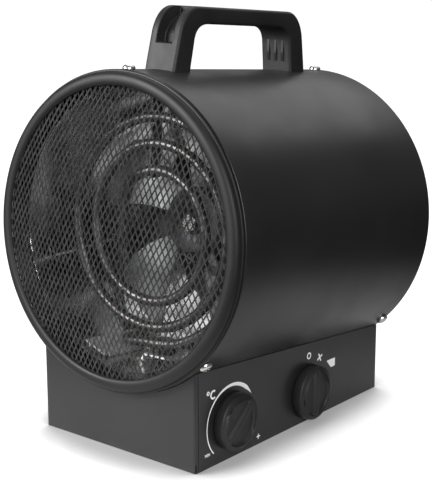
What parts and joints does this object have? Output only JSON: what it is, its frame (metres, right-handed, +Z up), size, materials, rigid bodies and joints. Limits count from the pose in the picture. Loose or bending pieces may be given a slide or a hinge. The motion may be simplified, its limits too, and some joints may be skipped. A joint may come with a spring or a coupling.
{
  "type": "forced air heater",
  "caption": "Drum shaped electric fan heater with a front mesh, coiled element, axial fan, top handle and a folded sheet base with rotary controls.",
  "frame": {"origin": "middle of the footprint of the whole heater, on the surface that it stands on", "axes": "+Z up, the air outlet faces -Y, the controls are on the +X side; the drum's axis lies in the YZ plane and rises 4.85 degrees towards the outlet"},
  "size_m": [0.21, 0.2402, 0.2895],
  "materials": {
    "black_paint": "satin black powder coat",
    "mesh_paint": "black powder coat on expanded metal",
    "black_plastic": "fine grained black plastic",
    "galvanised": "bright zinc coated sheet",
    "element_steel": "dull heat darkened tube",
    "fan_metal": "dark coated sheet",
    "motor_metal": "plain cast and turned metal",
    "core_steel": "stacked sheet edges",
    "copper": "varnished copper wire",
    "bronze": "plain bearing bronze",
    "ceramic": "unglazed steatite",
    "rubber": "black rubber pad",
    "dark_plastic": "dark heat proof moulding",
    "zinc_screw": "bright zinc plate"
  },
  "bodies": {
    "heater": {"base_housing": "black_paint", "base_plate": "black_paint", "bracket_screw_1": "zinc_screw", "bracket_screw_2": "zinc_screw", "bracket_screw_3": "zinc_screw", "cable_gland": "black_plastic", "cradle_front": "galvanised", "cradle_rear": "galvanised", "cradle_screw_front": "zinc_screw", "cradle_screw_rear": "zinc_screw", "drum_shell": "black_paint", "element_bracket": "galvanised", "element_comb_1": "galvanised", "element_comb_2": "galvanised", "element_comb_3": "galvanised", "foot_front_left": "rubber", "foot_front_right": "rubber", "foot_rear_left": "rubber", "foot_rear_right": "rubber", "front_bearing": "bronze", "front_screw_left": "zinc_screw", "front_screw_right": "zinc_screw", "front_screw_top": "zinc_screw", "handle": "black_plastic", "handle_screw_front": "zinc_screw", "handle_screw_rear": "zinc_screw", "heat_shield_duct": "galvanised", "heating_element": "element_steel", "inlet_grille": "black_paint", "limiter_bracket": "galvanised", "mesh_clamp_ring": "galvanised", "motor_bracket": "galvanised", "motor_end_cap": "motor_metal", "motor_housing": "motor_metal", "outlet_mesh": "mesh_paint", "outlet_ring": "black_paint", "plate_screw_front_left": "zinc_screw", "plate_screw_front_right": "zinc_screw", "plate_screw_rear_left": "zinc_screw", "plate_screw_rear_right": "zinc_screw", "rear_bearing": "bronze", "rear_screw_left": "zinc_screw", "rear_screw_right": "zinc_screw", "rear_screw_top": "zinc_screw", "stator_core": "core_steel", "stator_winding": "copper", "switch_body": "dark_plastic", "terminal_block": "ceramic", "terminal_insulator_1": "ceramic", "terminal_insulator_2": "ceramic", "thermal_limiter": "dark_plastic", "thermostat_body": "ceramic"},
    "fan_rotor": {"fan": "fan_metal", "fan_nut": "zinc_screw", "motor_shaft": "motor_metal", "rotor": "core_steel"},
    "thermostat_dial": {"thermostat_knob": "black_plastic", "thermostat_shaft": "zinc_screw"},
    "switch_dial": {"switch_knob": "black_plastic", "switch_shaft": "zinc_screw"}
  },
  "joints": [
    {"name": "fan_spin", "type": "hinge", "parent": "heater", "child": "fan_rotor", "pos_m": [0, 0.003, 0.1388], "axis": [0, 0.9964, -0.0845], "continuous": true},
    {"name": "thermostat_turn", "type": "hinge", "parent": "heater", "child": "thermostat_dial", "pos_m": [0.06815, -0.0718, 0.0268], "axis": [1, 0, 0], "range_deg": [-86, 172]},
    {"name": "switch_turn", "type": "hinge", "parent": "heater", "child": "switch_dial", "pos_m": [0.06815, 0.0138, 0.0223], "axis": [1, 0, 0], "range_deg": [-66, 0]}
  ]
}
